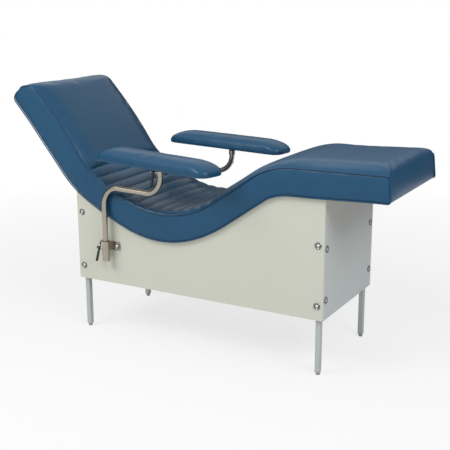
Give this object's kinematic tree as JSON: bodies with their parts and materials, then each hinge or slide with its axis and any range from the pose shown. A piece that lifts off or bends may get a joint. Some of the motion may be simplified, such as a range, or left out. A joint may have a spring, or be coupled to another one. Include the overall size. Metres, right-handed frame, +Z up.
{
  "type": "phlebotomy chair",
  "caption": "Contoured reclining blood-donor couch on a panelled box with four legs, with two padded armrests on bent tube posts that lift, swing and turn.",
  "frame": {"origin": "on the floor under the middle of the chair's overall box, armrests included; the box's middle is 27 mm towards the foot end from it and the couch's middle plane 34 mm towards the sitter's left", "axes": "+X to the foot end, +Y to the sitter's left, +Z up"},
  "size_m": [1.7825, 0.8367, 1.1065],
  "materials": {
    "side_laminate": "warm light grey laminate",
    "end_laminate": "cool light grey laminate",
    "leg_tube": "light grey powder coat",
    "tip": "grey moulded",
    "glide": "matt",
    "zinc": "bright zinc",
    "washer": "satin",
    "timber": "sealed",
    "foam": "open foam",
    "vinyl": "blue coated cloth",
    "bush": "moulded",
    "tube": "satin nickel",
    "black": "moulded",
    "black_steel": "black"
  },
  "bodies": {
    "chair": {"right_side_panel": "side_laminate", "left_side_panel": "side_laminate", "foot_end_panel": "end_laminate", "head_end_panel": "end_laminate", "foot_right_leg": "leg_tube", "foot_left_leg": "leg_tube", "head_right_leg": "leg_tube", "head_left_leg": "leg_tube", "leg_tips": "tip", "glide_pads": "glide", "panel_bolts": "zinc", "cup_washers": "washer", "panel_nuts": "zinc", "calf_rail": "timber", "thigh_rail": "timber", "seat_rail": "timber", "hip_rail": "timber", "rail_brackets": "zinc", "bracket_screws": "zinc", "shell_screws": "zinc", "seat_shell": "timber", "foam_core": "foam", "mattress_cover": "vinyl", "right_sleeve_bracket": "tube", "right_bracket_washers": "washer", "right_bracket_bolts": "zinc", "right_bracket_nuts": "zinc", "left_sleeve_bracket": "tube", "left_bracket_washers": "washer", "left_bracket_bolts": "zinc", "left_bracket_nuts": "zinc"},
    "right_bush": {"right_sleeve_bush": "bush"},
    "right_arm": {"right_post": "tube", "right_post_plug": "black", "right_collar": "tube"},
    "right_pad": {"right_pad_mount": "black_steel", "right_pad_screws": "zinc", "right_pad_board": "timber", "right_pad_cushion": "vinyl"},
    "right_post_lever": {"right_post_clamp_stud": "zinc", "right_post_clamp_handle": "black"},
    "right_pad_lever": {"right_pad_clamp_stud": "zinc", "right_pad_clamp_handle": "black"},
    "left_bush": {"left_sleeve_bush": "bush"},
    "left_arm": {"left_post": "tube", "left_post_plug": "black", "left_collar": "tube"},
    "left_pad": {"left_pad_mount": "black_steel", "left_pad_screws": "zinc", "left_pad_board": "timber", "left_pad_cushion": "vinyl"},
    "left_post_lever": {"left_post_clamp_stud": "zinc", "left_post_clamp_handle": "black"},
    "left_pad_lever": {"left_pad_clamp_stud": "zinc", "left_pad_clamp_handle": "black"}
  },
  "joints": [
    {"name": "right_swing", "type": "hinge", "parent": "chair", "child": "right_bush", "pos_m": [-0.3965, -0.263, 0.4], "axis": [0, 0, 1], "range_deg": [-79, 14]},
    {"name": "left_swing", "type": "hinge", "parent": "chair", "child": "left_bush", "pos_m": [-0.3965, 0.331, 0.4], "axis": [0, 0, 1], "range_deg": [-4, 89]},
    {"name": "right_lift", "type": "slide", "parent": "right_bush", "child": "right_arm", "axis": [0, 0, 1], "range_m": [-0.006, 0.044]},
    {"name": "left_lift", "type": "slide", "parent": "left_bush", "child": "left_arm", "axis": [0, 0, 1], "range_m": [0, 0.05]},
    {"name": "right_pad_turn", "type": "hinge", "parent": "right_arm", "child": "right_pad", "pos_m": [-0.08024, -0.29624, 0.78], "axis": [0, 0, 1], "range_deg": [-60, 60]},
    {"name": "left_pad_turn", "type": "hinge", "parent": "left_arm", "child": "left_pad", "pos_m": [-0.07927, 0.30882, 0.774], "axis": [0, 0, 1], "range_deg": [-60, 60]},
    {"name": "right_post_lever", "type": "hinge", "parent": "chair", "child": "right_post_lever", "pos_m": [-0.423, -0.263, 0.405], "axis": [1, 0, 0], "range_deg": [-110, 15]},
    {"name": "left_post_lever", "type": "hinge", "parent": "chair", "child": "left_post_lever", "pos_m": [-0.423, 0.331, 0.405], "axis": [1, 0, 0], "range_deg": [-15, 110]},
    {"name": "right_pad_lever", "type": "hinge", "parent": "right_arm", "child": "right_pad_lever", "pos_m": [-0.08024, -0.29624, 0.78], "axis": [0.9945, -0.1045, 0], "range_deg": [-80, 80]},
    {"name": "left_pad_lever", "type": "hinge", "parent": "left_arm", "child": "left_pad_lever", "pos_m": [-0.07927, 0.30882, 0.774], "axis": [0.4384, -0.8988, 0], "range_deg": [-80, 80]}
  ]
}
